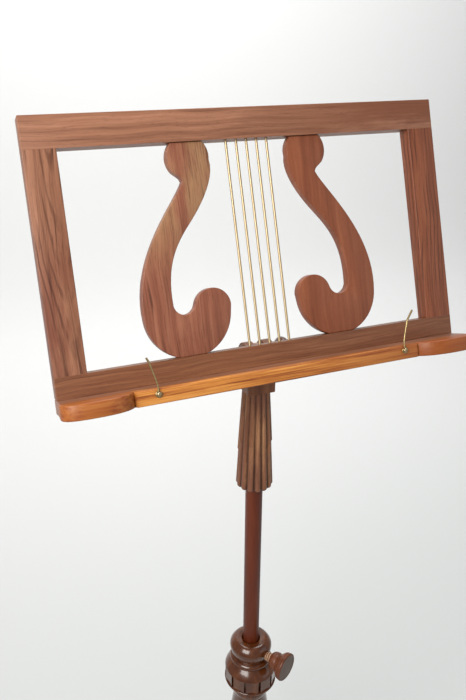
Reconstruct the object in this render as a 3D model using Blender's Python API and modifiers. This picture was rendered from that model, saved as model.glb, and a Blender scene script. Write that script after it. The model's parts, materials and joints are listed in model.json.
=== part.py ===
"""A wooden music stand with a lyre desk, on a turned post with three legs. Metres, +Z up, the desk faces -Y.

The post slides its round rod up and down and lets it turn, a wooden screw clamps the rod, the desk tilts in a
yoke on top of the rod, and two wire page holders swing on the front of the ledge.
"""

import math

import bmesh
import bpy
from mathutils import Matrix, Vector

MM = 0.001
GAP = 0.3 * MM  # between pieces that touch

# The desk, in its own frame: u across, v up the desk from the ledge's top, w out of its front.
DESK_WIDTH = 508 * MM
DESK_HEIGHT = 297 * MM
DESK_TILT = math.radians(18.7)
BOARD = 18 * MM
TOP_RAIL_HEIGHT = 35.6 * MM
BOTTOM_RAIL_HEIGHT = 24.4 * MM
STILE_WIDTH = 36 * MM
TENON = Vector((22, 9, 12)) * MM  # across, thick, long
SCROLL_BOARD = 12 * MM
STRING_RADIUS = 1.5 * MM
STRING_SPACING = 12.8 * MM
STRING_SHIFT = 1.3 * MM  # the group of strings stands this far right of the middle
STRING_DEPTH = 9 * MM  # into each rail

# The ledge under the desk.
LEDGE_THICK = 17 * MM
LEDGE_FRONT = 32 * MM
EAR_FRONT = 48 * MM
EAR_START = 176 * MM
WIRE_RADIUS = 1.0 * MM
HOLDER_V = -6 * MM
# Each page holder's place along the ledge, and the points of its hand-bent wire from its screw, in mm.
HOLDERS = {
    "left": (-152 * MM, [(0, 9), (-1.4, 16), (-5, 30), (-6.4, 35), (-8.8, 40)]),
    "right": (157 * MM, [(0, 9), (1.4, 16), (6.4, 32), (9, 37.5), (15.6, 46.5)]),
}

# The tilt pivot, seen from the desk's frame, and the yoke round it.
PIVOT_V = 8.8 * MM
PIVOT_W = -47.7 * MM
YOKE_WIDTH = 37 * MM
YOKE_DEPTH = 34 * MM
YOKE_DROP = 47.5 * MM  # from the pivot to the yoke's foot
SLOT_WIDTH = 13 * MM
SLOT_DROP = 22 * MM
BOLT_RADIUS = 3 * MM

# The post. Heights are above the floor.
POST_Y = 57.7 * MM  # the post's axis, behind the middle of the whole box
POST_TOP = 575 * MM
HEAD_FOOT = 487 * MM
COLUMN_FOOT = 102 * MM
BORE_RADIUS = 12.6 * MM
BORE_FOOT = 119 * MM
ROD_RADIUS = 11.5 * MM
ROD_FOOT = 336 * MM
ROD_TOP = 900 * MM
PIVOT_Z = 1029 * MM
NECK_FOOT = 841 * MM
NECK_TOP_RADIUS = 17.3 * MM
NECK_FOOT_RADIUS = 24.6 * MM
REEDS = 14
REED_DEPTH = 1.6 * MM

# The clamp screw.
CLAMP_Z = 557 * MM
CLAMP_TURN = math.radians(-61)
CLAMP_SHANK = 6.6 * MM
PAD_THICK = 3 * MM

# The legs.
LEG_TURNS = (-90, 30, 150)
LEG_THICK = 24 * MM
DRUM_RADIUS = 36 * MM
MORTISE_DEPTH = 10 * MM
MORTISE_LOW = 168 * MM
MORTISE_HIGH = 246 * MM
FOOT_RADIUS = 232 * MM
PAD_HEIGHT = 4 * MM

STEPS = 36


def clear_scene():
    for old in list(bpy.data.objects):
        bpy.data.objects.remove(old, do_unlink=True)


def new_collection(name):
    made = bpy.data.collections.new(name)
    bpy.context.scene.collection.children.link(made)
    return made


def new_material(name, colour, roughness, metallic=0.0):
    made = bpy.data.materials.new(name)
    made.use_nodes = True
    shader = made.node_tree.nodes["Principled BSDF"]
    shader.inputs["Base Color"].default_value = (*colour, 1)
    shader.inputs["Roughness"].default_value = roughness
    shader.inputs["Metallic"].default_value = metallic
    return made


clear_scene()
PARTS = new_collection("music_stand")
HELPERS = new_collection("helpers")
WALNUT = new_material("walnut", (0.19, 0.07, 0.04), 0.4)
LEDGE_WOOD = new_material("orange_walnut", (0.45, 0.17, 0.05), 0.35)
DARK_WOOD = new_material("dark_turned_wood", (0.10, 0.035, 0.02), 0.25)
BRASS = new_material("brass", (0.75, 0.58, 0.28), 0.25, 1.0)
LEATHER = new_material("leather", (0.12, 0.06, 0.03), 0.8)
FELT = new_material("felt", (0.04, 0.04, 0.04), 0.95)


def new_frame(name, matrix, parent=None):
    """An empty that holds a joint's place."""
    made = bpy.data.objects.new(name, None)
    HELPERS.objects.link(made)
    made.parent = parent
    made.matrix_local = matrix
    return made


def new_object(name, mesh, material, frame=None, place=Matrix(), smooth=True):
    made = bpy.data.objects.new(name, mesh)
    (PARTS if material else HELPERS).objects.link(made)
    made.parent = frame
    made.matrix_local = place
    if material:
        mesh.materials.append(material)
    else:
        made.hide_render = True
        made.display_type = "WIRE"
    if smooth:
        mesh.shade_smooth()
        mesh.set_sharp_from_angle(angle=math.radians(35))
    return made


def mesh_from(build, name):
    """The mesh that build draws into an empty bmesh."""
    shape = bmesh.new()
    build(shape)
    bmesh.ops.recalc_face_normals(shape, faces=shape.faces)
    mesh = bpy.data.meshes.new(name)
    shape.to_mesh(mesh)
    shape.free()
    return mesh


def box(name, low, high, material=None, frame=None, bevel=0.0):
    low, high = Vector(low), Vector(high)

    def build(shape):
        size = high - low
        place = Matrix.Translation((low + high) / 2) @ Matrix.Diagonal((*size, 1))
        bmesh.ops.create_cube(shape, size=1, matrix=place)

    made = new_object(name, mesh_from(build, name), material, frame, smooth=False)
    if bevel:
        rounding = made.modifiers.new("rounded_edges", "BEVEL")
        rounding.width = bevel
        rounding.segments = 2
    return made


def rod(name, start, end, radius, material=None, frame=None, sides=16):
    """A straight round bar between two points."""
    start, end = Vector(start), Vector(end)
    along = end - start
    place = Matrix.Translation((start + end) / 2) @ along.to_track_quat("Z", "Y").to_matrix().to_4x4()

    def build(shape):
        bmesh.ops.create_cone(
            shape, cap_ends=True, segments=sides, radius1=radius, radius2=radius, depth=along.length, matrix=place
        )

    return new_object(name, mesh_from(build, name), material, frame)


def turned(name, profile, material=None, frame=None, place=Matrix(), steps=STEPS):
    """A turned piece: profile is (radius, height) in mm, from its top down the outer side to its foot."""
    shape = bmesh.new()
    points = [shape.verts.new((r * MM, 0, z * MM)) for r, z in profile]
    closed = profile[0][0] > 0
    pairs = list(zip(points, points[1:])) + ([(points[-1], points[0])] if closed else [])
    for pair in pairs:
        shape.edges.new(pair)
    mesh = bpy.data.meshes.new(name)
    shape.to_mesh(mesh)
    shape.free()
    made = new_object(name, mesh, material, frame, place, smooth=False)
    screw = made.modifiers.new("turning", "SCREW")
    screw.steps = screw.render_steps = steps
    screw.use_merge_vertices = True
    screw.merge_threshold = 0.00001
    return made


def board(name, outline, thick, material=None, frame=None, place=Matrix()):
    """A flat board: a closed outline in its own XY plane, in metres, and half its thickness each way along Z."""
    curve = bpy.data.curves.new(name, "CURVE")
    curve.dimensions = "2D"
    curve.fill_mode = "BOTH"
    curve.extrude = thick / 2
    spline = curve.splines.new("POLY")
    spline.points.add(len(outline) - 1)
    spline.use_cyclic_u = True
    for point, (x, y) in zip(spline.points, outline):
        point.co = (x, y, 0, 1)
    drawn = bpy.data.objects.new(name, curve)
    HELPERS.objects.link(drawn)
    graph = bpy.context.evaluated_depsgraph_get()
    mesh = bpy.data.meshes.new_from_object(drawn.evaluated_get(graph))
    bpy.data.objects.remove(drawn)
    shape = bmesh.new()
    shape.from_mesh(mesh)
    bmesh.ops.remove_doubles(shape, verts=shape.verts, dist=0.00001)
    bmesh.ops.recalc_face_normals(shape, faces=shape.faces)
    shape.to_mesh(mesh)
    shape.free()
    mesh.name = name
    return new_object(name, mesh, material, frame, place)


def wire(name, points, radius, material, frame):
    curve = bpy.data.curves.new(name, "CURVE")
    curve.dimensions = "3D"
    curve.bevel_depth = radius
    curve.bevel_resolution = 2
    curve.use_fill_caps = True
    spline = curve.splines.new("POLY")
    spline.points.add(len(points) - 1)
    for point, place in zip(spline.points, points):
        point.co = (*place, 1)
    curve.materials.append(material)
    made = bpy.data.objects.new(name, curve)
    PARTS.objects.link(made)
    made.parent = frame
    return made


def cut(target, cutter, operation="DIFFERENCE"):
    change = target.modifiers.new(cutter.name, "BOOLEAN")
    change.operation = operation
    change.object = cutter


def arc(centre, radius, start, end, count):
    """Points on an arc, from start to end degrees."""
    turns = [math.radians(start + (end - start) * i / (count - 1)) for i in range(count)]
    return [(centre[0] + radius * math.cos(a), centre[1] + radius * math.sin(a)) for a in turns]


def bezier(a, b, c, d, count):
    """Points on a cubic curve, both ends left out."""
    found = []
    for i in range(1, count + 1):
        t = i / (count + 1)
        weights = ((1 - t) ** 3, 3 * t * (1 - t) ** 2, 3 * t * t * (1 - t), t**3)
        found.append(tuple(sum(w * p[k] for w, p in zip(weights, (a, b, c, d))) for k in (0, 1)))
    return found


def scaled(points, side=1):
    return [(side * x * MM, y * MM) for x, y in points]


POST = new_frame("post_axis", Matrix.Translation((0, POST_Y, 0)))
PIVOT = new_frame("tilt_pivot", Matrix.Translation((0, POST_Y, PIVOT_Z)))
TILTED = Matrix.Rotation(math.pi / 2 - DESK_TILT, 4, "X")
DESK = new_frame("desk_front", TILTED @ Matrix.Translation((0, -PIVOT_V, -PIVOT_W)), PIVOT)
CLAMP = new_frame(
    "clamp_axis",
    Matrix.Translation((0, POST_Y, CLAMP_Z))
    @ Matrix.Rotation(CLAMP_TURN, 4, "Z")
    @ Matrix.Rotation(math.pi / 2, 4, "Y"),
)


# The desk.


def string_places():
    return [STRING_SHIFT + (i - 2) * STRING_SPACING for i in range(5)]


def make_rails():
    half = DESK_WIDTH / 2
    top_low = DESK_HEIGHT - TOP_RAIL_HEIGHT
    top = box("top_rail", (-half, top_low, -BOARD), (half, DESK_HEIGHT, 0), WALNUT, DESK)
    bottom = box("bottom_rail", (-half, GAP, -BOARD), (half, BOTTOM_RAIL_HEIGHT, 0), WALNUT, DESK)
    for i, u in enumerate(string_places()):
        for rail, start, end in (
            (top, top_low - MM, top_low + STRING_DEPTH + MM),
            (bottom, BOTTOM_RAIL_HEIGHT - STRING_DEPTH - MM, BOTTOM_RAIL_HEIGHT + MM),
        ):
            where = -BOARD / 2
            hole = rod(f"{rail.name}_hole_{i}", (u, start, where), (u, end, where), STRING_RADIUS + GAP, None, DESK, 8)
            cut(rail, hole)
    return top, bottom


def make_stiles(top, bottom):
    """The two uprights, each with a tenon at both ends in a mortise of the rails."""
    low, high = BOTTOM_RAIL_HEIGHT + GAP, DESK_HEIGHT - TOP_RAIL_HEIGHT - GAP
    for side, name in ((-1, "left_stile"), (1, "right_stile")):
        middle = side * (DESK_WIDTH - STILE_WIDTH) / 2
        half = STILE_WIDTH / 2
        stile = box(name, (middle - half, low, -BOARD), (middle + half, high, 0), WALNUT, DESK)
        across, thick, long = TENON
        centre = -BOARD / 2
        tenon = box(
            f"{name}_tenon",
            (middle - across / 2, low - long, centre - thick / 2),
            (middle + across / 2, high + long, centre + thick / 2),
            None,
            DESK,
        )
        cut(stile, tenon, "UNION")
        mortise = box(
            f"{name}_mortise",
            (middle - across / 2 - GAP, low - long - GAP, centre - thick / 2 - GAP),
            (middle + across / 2 + GAP, high + long + GAP, centre + thick / 2 + GAP),
            None,
            DESK,
        )
        cut(top, mortise)
        cut(bottom, mortise)


def scroll_outline():
    """Half of the lyre, in mm: a disc under the top rail, an S band, and a bowl whose end curls into a bulb."""
    top, foot = 261.1, 24.7
    disc, bowl, bulb, eye = (74, 245), (96, 73), (65, 76), (99, 84.5)
    disc_radius, bowl_radius, bulb_radius, eye_radius = 25, 51.5, 21.6, 13.3
    reach = math.degrees(math.asin((top - disc[1]) / disc_radius))
    rest = math.degrees(math.asin((foot - bowl[1]) / bowl_radius))
    disc_low, notch = -38, (83.5, 219)
    points = arc(disc, disc_radius, reach, disc_low, 7)
    points += bezier(points[-1], (89, 225), (84.5, 224), notch, 2)
    points += [notch]
    bowl_side = arc(bowl, bowl_radius, -5, rest, 8)
    points += bezier(notch, (93, 197), (155.5, 141), bowl_side[0], 12)
    points += bowl_side
    points += arc(bowl, bowl_radius, 180 - rest, 180, 8)
    points += arc(bulb, bulb_radius, 185, 15, 11)
    points += arc(eye, eye_radius, 205, 350, 9)
    inner_foot = points[-1]
    disc_side = arc(disc, disc_radius, 190, 180 - reach, 5)
    points += bezier(inner_foot, (115, 128), (100, 150), (80, 173), 8)
    points += [(80, 173)]
    points += bezier((80, 173), (62, 194), (44.5, 222), disc_side[0], 5)
    return points + disc_side


def make_scrolls():
    for side, name in ((-1, "left_scroll"), (1, "right_scroll")):
        place = Matrix.Translation((0, 0, -BOARD / 2))
        board(name, scaled(scroll_outline(), side), SCROLL_BOARD, WALNUT, DESK, place)


def make_strings():
    low = BOTTOM_RAIL_HEIGHT - STRING_DEPTH
    high = DESK_HEIGHT - TOP_RAIL_HEIGHT + STRING_DEPTH
    for i, u in enumerate(string_places()):
        rod(f"string_{i + 1}", (u, low, -BOARD / 2), (u, high, -BOARD / 2), STRING_RADIUS, BRASS, DESK, 10)


def ledge_outline():
    """The ledge from above, u and w: a straight middle, and a swelling ear with a round corner at each end."""
    end, back = DESK_WIDTH / 2, -BOARD
    quirk = (EAR_START + 1.5 * MM, LEDGE_FRONT - 4 * MM)
    swell = (EAR_START + 44 * MM, EAR_FRONT)
    corner = (end + 2 * MM, EAR_FRONT - 22 * MM)
    right = [(EAR_START, LEDGE_FRONT), quirk]
    right += bezier(quirk, (EAR_START + 10 * MM, EAR_FRONT - 5 * MM), (EAR_START + 24 * MM, EAR_FRONT), swell, 5)
    right += [swell]
    right += bezier(swell, (end - 13 * MM, EAR_FRONT), (end + 2 * MM, EAR_FRONT - 4 * MM), corner, 6)
    right += [corner, (end, 0), (end, back)]
    return [(-u, w) for u, w in right[::-1]] + right


def make_ledge(bottom):
    # The outline's second axis is w, so the board lies across the desk.
    flat = Matrix.Rotation(math.pi / 2, 4, "X") @ Matrix.Diagonal((1, 1, -1, 1))
    place = Matrix.Translation((0, -LEDGE_THICK / 2, 0)) @ flat
    ledge = board("ledge", ledge_outline(), LEDGE_THICK, LEDGE_WOOD, DESK, place)
    under, shank, head_radius, head_thick = -LEDGE_THICK, 2 * MM, 4 * MM, 2.5 * MM
    end = 14 * MM
    for i, u in enumerate((-200, -70, 70, 200)):

        def bar(name, start, stop, radius, material=None, sides=12):
            places = ((u * MM, height, -BOARD / 2) for height in (start, stop))
            return rod(f"{name}_{i + 1}", *places, radius, material, DESK, sides)

        screw = bar("ledge_screw", under + MM, end, shank, BRASS, 10)
        head = bar("ledge_screw_head", under + GAP, under + head_thick, head_radius)
        cut(screw, head, "UNION")
        cut(ledge, bar("ledge_sink", under - MM, under + head_thick + GAP, head_radius + GAP))
        hole = bar("ledge_hole", under - MM, end + GAP, shank + GAP, sides=10)
        cut(ledge, hole)
        cut(bottom, hole)
    return ledge


def make_page_holders(ledge):
    """A wire with an eye at its foot, on a round-headed screw in the ledge's front."""
    eye_radius, head_radius, screw_radius = 2.9 * MM, 3.6 * MM, 1.5 * MM
    wire_w = LEDGE_FRONT + GAP + WIRE_RADIUS
    for name, (u, lean) in HOLDERS.items():
        side = math.copysign(1, u)
        frame = new_frame(f"{name}_holder_axis", Matrix.Translation((u, HOLDER_V, 0)), DESK)
        eye = arc((0, 0), eye_radius, 90 + side * 50, 90 + side * 360, 13)
        points = [(x, y, wire_w) for x, y in eye + scaled(lean)]
        wire(f"page_holder_{name}", points, WIRE_RADIUS, BRASS, frame)
        start, end = LEDGE_FRONT - 12 * MM, wire_w + WIRE_RADIUS + GAP

        def bar(what, start, stop, radius, material=None, sides=10):
            return rod(f"holder_{what}_{name}", (0, 0, start), (0, 0, stop), radius, material, frame, sides)

        screw = bar("screw", start, end + MM, screw_radius, BRASS)
        cut(screw, bar("head", end, end + 1.6 * MM, head_radius, sides=14), "UNION")
        cut(ledge, bar("hole", start - GAP, LEDGE_FRONT + MM, screw_radius + GAP))


def make_tongue(bottom):
    """The plate on the desk's back and the tongue that turns in the yoke."""
    plate_thick = 8 * MM
    face = -BOARD - GAP
    back = face - plate_thick
    plate = box("tongue_plate", (-30 * MM, -15 * MM, back), (30 * MM, 22 * MM, face), WALNUT, DESK, 1.5 * MM)
    # The tongue's outline is in the plane of v and w, about the pivot.
    reach = back - GAP - PIVOT_W
    low, high, round_radius = -15 * MM - PIVOT_V + 2 * MM, 11 * MM, 14 * MM
    outline = [(high, reach), (low, reach)] + arc((0, 0), round_radius, 180, 360, 13)
    upright = Matrix(((0, 0, 1, 0), (1, 0, 0, 0), (0, 1, 0, 0), (0, 0, 0, 1)))
    place = Matrix.Translation((0, PIVOT_V, PIVOT_W)) @ upright
    tongue = board("desk_tongue", outline, SLOT_WIDTH - 2 * GAP, WALNUT, DESK, place)
    hole = rod(
        "tongue_hole",
        (-YOKE_WIDTH, PIVOT_V, PIVOT_W),
        (YOKE_WIDTH, PIVOT_V, PIVOT_W),
        BOLT_RADIUS + GAP,
        None,
        DESK,
    )
    cut(tongue, hole)
    shank, head_radius, end = 1.7 * MM, 3.4 * MM, -6 * MM
    for i, (u, v) in enumerate(((-18, 6), (20.5, 6), (-18, 16), (20.5, 16))):

        def bar(name, start, stop, radius, material=None, sides=10):
            places = ((u * MM, v * MM, depth) for depth in (start, stop))
            return rod(f"{name}_{i + 1}", *places, radius, material, DESK, sides)

        screw = bar("bracket_screw", back - 1.5 * MM, end, shank, BRASS)
        cut(screw, bar("bracket_head", back - 1.8 * MM, back - GAP, head_radius, sides=12), "UNION")
        hole = bar("bracket_hole", back - MM, end + GAP, shank + GAP)
        cut(plate, hole)
        cut(bottom, hole)


# The rod with its reeded neck and the yoke.


def make_yoke():
    half = YOKE_DEPTH / 2
    outline = [(-half, -YOKE_DROP), (half, -YOKE_DROP)] + arc((0, 0), half, 0, 180, 17)
    # The outline is in the plane of Y and Z.
    upright = Matrix(((0, 0, 1, 0), (1, 0, 0, 0), (0, 1, 0, 0), (0, 0, 0, 1)))
    yoke = board("yoke", outline, YOKE_WIDTH, WALNUT, PIVOT, upright)
    slot = box(
        "yoke_slot",
        (-SLOT_WIDTH / 2, -YOKE_DEPTH, -SLOT_DROP),
        (SLOT_WIDTH / 2, YOKE_DEPTH, YOKE_DEPTH),
        None,
        PIVOT,
    )
    bolt_hole = rod("yoke_bolt_hole", (-YOKE_WIDTH, 0, 0), (YOKE_WIDTH, 0, 0), BOLT_RADIUS + GAP, None, PIVOT)
    dowel_hole = rod(
        "yoke_dowel_hole", (0, 0, -YOKE_DROP - MM), (0, 0, -YOKE_DROP + 18 * MM + GAP), 8 * MM + GAP, None, PIVOT
    )
    for cutter in (slot, bolt_hole, dowel_hole):
        cut(yoke, cutter)


def make_tilt_fittings():
    side = YOKE_WIDTH / 2
    bolt = rod("tilt_bolt", (-side - 2 * MM, 0, 0), (side + 17 * MM, 0, 0), BOLT_RADIUS, BRASS, PIVOT)
    head = rod("tilt_bolt_head", (-side - 3.6 * MM, 0, 0), (-side - GAP, 0, 0), 8 * MM, None, PIVOT, 20)
    cut(bolt, head, "UNION")
    across = Matrix.Rotation(math.pi / 2, 4, "Y")
    thick, hole = 1.2, BOLT_RADIUS / MM + 0.3
    start = side / MM + 0.3
    washer = [(hole, start + thick), (9, start + thick), (9, start), (hole, start)]
    turned("tilt_washer", washer, BRASS, PIVOT, across, 24)
    near = start + thick + 0.3
    knob = [
        (0, near + 21),
        (9, near + 21),
        (14.5, near + 19.5),
        (17, near + 15.5),
        (17, near + 12.5),
        (14.5, near + 9),
        (10.5, near + 5.5),
        (9.5, near + 3.5),
        (10.5, near + 1),
        (9.5, near),
        (hole, near),
        (hole, near + 16),
        (0, near + 16),
    ]
    turned("tilt_knob", knob, DARK_WOOD, PIVOT, across, 32)


def neck_ring(height, share, size=1.0):
    """One ring of the reeded neck: share runs 0 at its top to 1 at its foot."""
    radius = NECK_TOP_RADIUS + (NECK_FOOT_RADIUS - NECK_TOP_RADIUS) * share**1.15
    points = []
    for i in range(REEDS * 4):
        turn = 2 * math.pi * i / (REEDS * 4)
        r = (radius - REED_DEPTH * (1 - abs(math.sin(turn * REEDS / 2)))) * size
        points.append((r * math.cos(turn), r * math.sin(turn), height))
    return points


def make_neck():
    top = PIVOT_Z - YOKE_DROP - GAP
    shape = bmesh.new()
    rings = []
    for share, size in ((0, 1), (0.25, 1), (0.5, 1), (0.75, 1), (0.985, 1), (1, 0.97)):
        ring = neck_ring(top + (NECK_FOOT - top) * share, share, size)
        rings.append([shape.verts.new(point) for point in ring])
    count = len(rings[0])
    for above, below in zip(rings, rings[1:]):
        for i in range(count):
            j = (i + 1) % count
            shape.faces.new((above[i], below[i], below[j], above[j]))
    shape.faces.new(rings[0])
    shape.faces.new(rings[-1][::-1])
    bmesh.ops.recalc_face_normals(shape, faces=shape.faces)
    mesh = bpy.data.meshes.new("neck")
    shape.to_mesh(mesh)
    shape.free()
    neck = new_object("neck", mesh, WALNUT, POST)
    dowel = rod("neck_dowel", (0, 0, top - 4 * MM), (0, 0, top + 18 * MM), 8 * MM, None, POST)
    socket = rod("neck_socket", (0, 0, NECK_FOOT - 5 * MM), (0, 0, ROD_TOP + GAP), ROD_RADIUS + GAP, None, POST, 32)
    cut(neck, dowel, "UNION")
    cut(neck, socket)


def make_rod():
    """The round rod. A leather guide ring turns on the thin end of its foot, held by a screw and its washer."""
    r, top, foot = ROD_RADIUS / MM, ROD_TOP / MM, ROD_FOOT / MM
    thin, screw_hole = 6, 1.9
    profile = [
        (0, top),
        (r - 0.8, top),
        (r, top - 0.8),
        (r, foot + 8),
        (thin, foot + 8),
        (thin, foot + 1.7),
        (screw_hole, foot + 1.7),
        (screw_hole, foot + 26),
        (0, foot + 26),
    ]
    turned("rod", profile, WALNUT, POST, steps=28)
    ring = [(12.3, foot + 7.7), (12.3, foot + 2), (thin + 0.3, foot + 2), (thin + 0.3, foot + 7.7)]
    turned("rod_guide_ring", ring, LEATHER, POST, steps=28)
    screw = [(0, foot + 25.5), (1.6, foot + 24), (1.6, foot + 1.4), (9, foot + 1.4), (9, foot), (0, foot)]
    turned("rod_end_screw", screw, BRASS, POST, steps=20)


# The post.


def head_profile():
    """The turned head, in mm, from the rim of its bore down to the socket for the column."""
    top, bore = POST_TOP / MM, BORE_RADIUS / MM
    down = [
        (bore, 0.8),
        (bore + 0.8, 0),
        (17.5, 1.2),
        (20.5, 0.9),
        (23.5, 1.8),
        (27, 4.6),
        (29.3, 8.5),
        (29.9, 13),
        (29.4, 18),
        (28, 23.5),
        (26.4, 28.2),
        (26.2, 30.5),
        (28.6, 32.2),
        (29.7, 35),
        (29.2, 38),
        (28.6, 39.3),
        (31, 42.5),
        (34.5, 46.5),
        (37, 51),
        (37.8, 53.5),
        (37.8, 74),
        (36.4, 77.5),
        (31.5, 82),
        (27, 85.5),
        (24.5, 88),
    ]
    socket = [(19.3, 88), (19.3, 66), (bore, 66)]
    return [(r, top - drop) for r, drop in down + socket]


def make_head():
    head = turned("post_head", head_profile(), DARK_WOOD, POST, steps=44)
    hole = rod("clamp_hole", (0, 0, 9 * MM), (0, 0, 45 * MM), CLAMP_SHANK + GAP, None, CLAMP, 20)
    cut(head, hole)


def column_profile():
    top, bore, foot = (HEAD_FOOT - GAP) / MM, BORE_RADIUS / MM, COLUMN_FOOT / MM
    drum = DRUM_RADIUS / MM
    return [
        (bore, top + 21),
        (19, top + 21),
        (19, top),
        (24.3, top),
        (26.0, top - 4),
        (26.4, top - 8),
        (25.4, top - 13),
        (24, top - 16),
        (24.4, top - 21),
        (26.5, top - 36),
        (30, top - 60),
        (33, top - 84),
        (33.6, top - 104),
        (31, top - 135),
        (27.2, top - 165),
        (25, top - 184),
        (25.4, top - 192),
        (30.5, top - 195),
        (32.4, top - 199),
        (31, top - 203),
        (28.5, top - 207),
        (drum, top - 215),
        (drum, 152),
        (33, 146),
        (33, 142),
        (30, 132),
        (23, 119),
        (16, 110),
        (14, foot),
        (4.3, foot),
        (4.3, foot + 10),
        (0, foot + 10),
        (0, BORE_FOOT / MM),
        (bore, BORE_FOOT / MM),
    ]


def leg_frame(turn):
    """A frame at the foot of the post whose X points along one leg."""
    angle = math.radians(turn)
    return new_frame(f"leg_{turn}", Matrix.Translation((0, POST_Y, 0)) @ Matrix.Rotation(angle, 4, "Z"))


def leg_outline():
    """A cabriole leg from the side, in mm: radius from the post's axis and height."""
    inner, drum = DRUM_RADIUS / MM - MORTISE_DEPTH / MM, DRUM_RADIUS / MM + 0.3
    low, high = MORTISE_LOW / MM, MORTISE_HIGH / MM
    foot, floor = FOOT_RADIUS / MM, PAD_HEIGHT / MM + 0.3
    knee, ankle = (104, 206), (206, 42)
    toe_top, toe = (foot + 14, 22), (foot + 18, 11)
    heel, back_ankle = (foot - 18, floor + 2), (190, 30)
    arch, shoulder = (84, 150), (drum, 158)
    points = [(inner, low), (inner, high), (drum, high), (drum, high + 8)]
    points += bezier((drum, high + 8), (60, 251), (86, 236), knee, 6)
    points += [knee]
    points += bezier(knee, (136, 160), (152, 62), ankle, 9)
    points += [ankle]
    points += bezier(ankle, (222, 36), (238, 34), toe_top, 4)
    points += [toe_top]
    points += bezier(toe_top, (foot + 20, 18), (foot + 21, 14), toe, 3)
    points += [toe, (foot + 13, floor), (foot - 13, floor), heel]
    points += bezier(heel, (208, 14), (196, 22), back_ankle, 4)
    points += [back_ankle]
    points += bezier(back_ankle, (142, 50), (118, 122), arch, 9)
    points += [arch]
    points += bezier(arch, (66, 164), (52, 156), shoulder, 4)
    points += [shoulder, (drum, low)]
    return points


def make_legs(column):
    upright = Matrix(((1, 0, 0, 0), (0, 0, -1, 0), (0, 1, 0, 0), (0, 0, 0, 1)))
    dowel_z = (MORTISE_LOW + MORTISE_HIGH) / 2
    for name, turn in zip(("front", "right", "left"), LEG_TURNS):
        frame = leg_frame(turn)
        leg = board(f"leg_{name}", scaled(leg_outline()), LEG_THICK, WALNUT, frame, upright)
        inner = DRUM_RADIUS - MORTISE_DEPTH
        mortise = box(
            f"mortise_{name}",
            (inner - GAP, -LEG_THICK / 2 - GAP, MORTISE_LOW - GAP),
            (DRUM_RADIUS * 2, LEG_THICK / 2 + GAP, MORTISE_HIGH + GAP),
            None,
            frame,
        )
        start, end, radius = 16 * MM, 56 * MM, 4 * MM
        rod(f"leg_dowel_{name}", (start, 0, dowel_z), (end, 0, dowel_z), radius, WALNUT, frame, 12)
        hole = rod(
            f"dowel_hole_{name}",
            (start - GAP, 0, dowel_z),
            (end + GAP, 0, dowel_z),
            radius + GAP,
            None,
            frame,
            12,
        )
        cut(column, mortise)
        cut(column, hole)
        cut(leg, hole)
        rod(f"foot_pad_{name}", (FOOT_RADIUS, 0, 0), (FOOT_RADIUS, 0, PAD_HEIGHT), 11 * MM, FELT, frame, 24)


def make_post():
    column = turned("column", column_profile(), DARK_WOOD, POST, steps=40)
    make_legs(column)
    top = COLUMN_FOOT / MM - 0.3
    finial = [
        (0, top + 9.5),
        (4, top + 9.5),
        (4, top),
        (13, top),
        (14.5, top - 3),
        (12, top - 6),
        (8, top - 9),
        (9.5, top - 12),
        (11.5, top - 17),
        (10, top - 23),
        (5, top - 28),
        (0, top - 29.5),
    ]
    turned("finial", finial, DARK_WOOD, POST, steps=24)


def make_clamp():
    """The wooden screw and the leather pad at its tip. Their frame's Z runs out along the screw."""
    tip = ROD_RADIUS / MM + 0.3
    pad_end = tip + PAD_THICK / MM
    rod("clamp_pad", (0, 0, tip * MM), (0, 0, pad_end * MM), 5.5 * MM, LEATHER, CLAMP, 20)
    shank, start = CLAMP_SHANK / MM, pad_end + 0.3
    screw = [
        (0, 64.5),
        (18.5, 64.3),
        (19.8, 62.8),
        (19.6, 59.5),
        (17, 57),
        (13.2, 54.3),
        (11.2, 51.6),
        (10.8, 50),
        (12.1, 47.5),
        (12.3, 44.5),
        (11, 41),
        (8.4, 38.4),
        (shank, 37.6),
        (shank, start + 1.2),
        (shank - 1.2, start),
        (0, start),
    ]
    turned("clamp_screw", screw, DARK_WOOD, CLAMP, steps=36)


def make_stand():
    top, bottom = make_rails()
    make_stiles(top, bottom)
    make_scrolls()
    make_strings()
    ledge = make_ledge(bottom)
    make_page_holders(ledge)
    make_tongue(bottom)
    make_yoke()
    make_tilt_fittings()
    make_neck()
    make_rod()
    make_head()
    make_post()
    make_clamp()


make_stand()
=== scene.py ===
# %% [markdown]
# # A wooden music stand with a lyre desk
#
# The stand is a rosewood desk with two lyre scrolls and five brass strings, on a rod that slides in a turned
# post with three legs. A CAD model fixes every size and every joint. This script gives each piece its real
# shape and finish around that model. We load the CAD model first.

# %% Loading the CAD model
import json
import math

import bpy
from mathutils import Matrix, Vector

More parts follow.
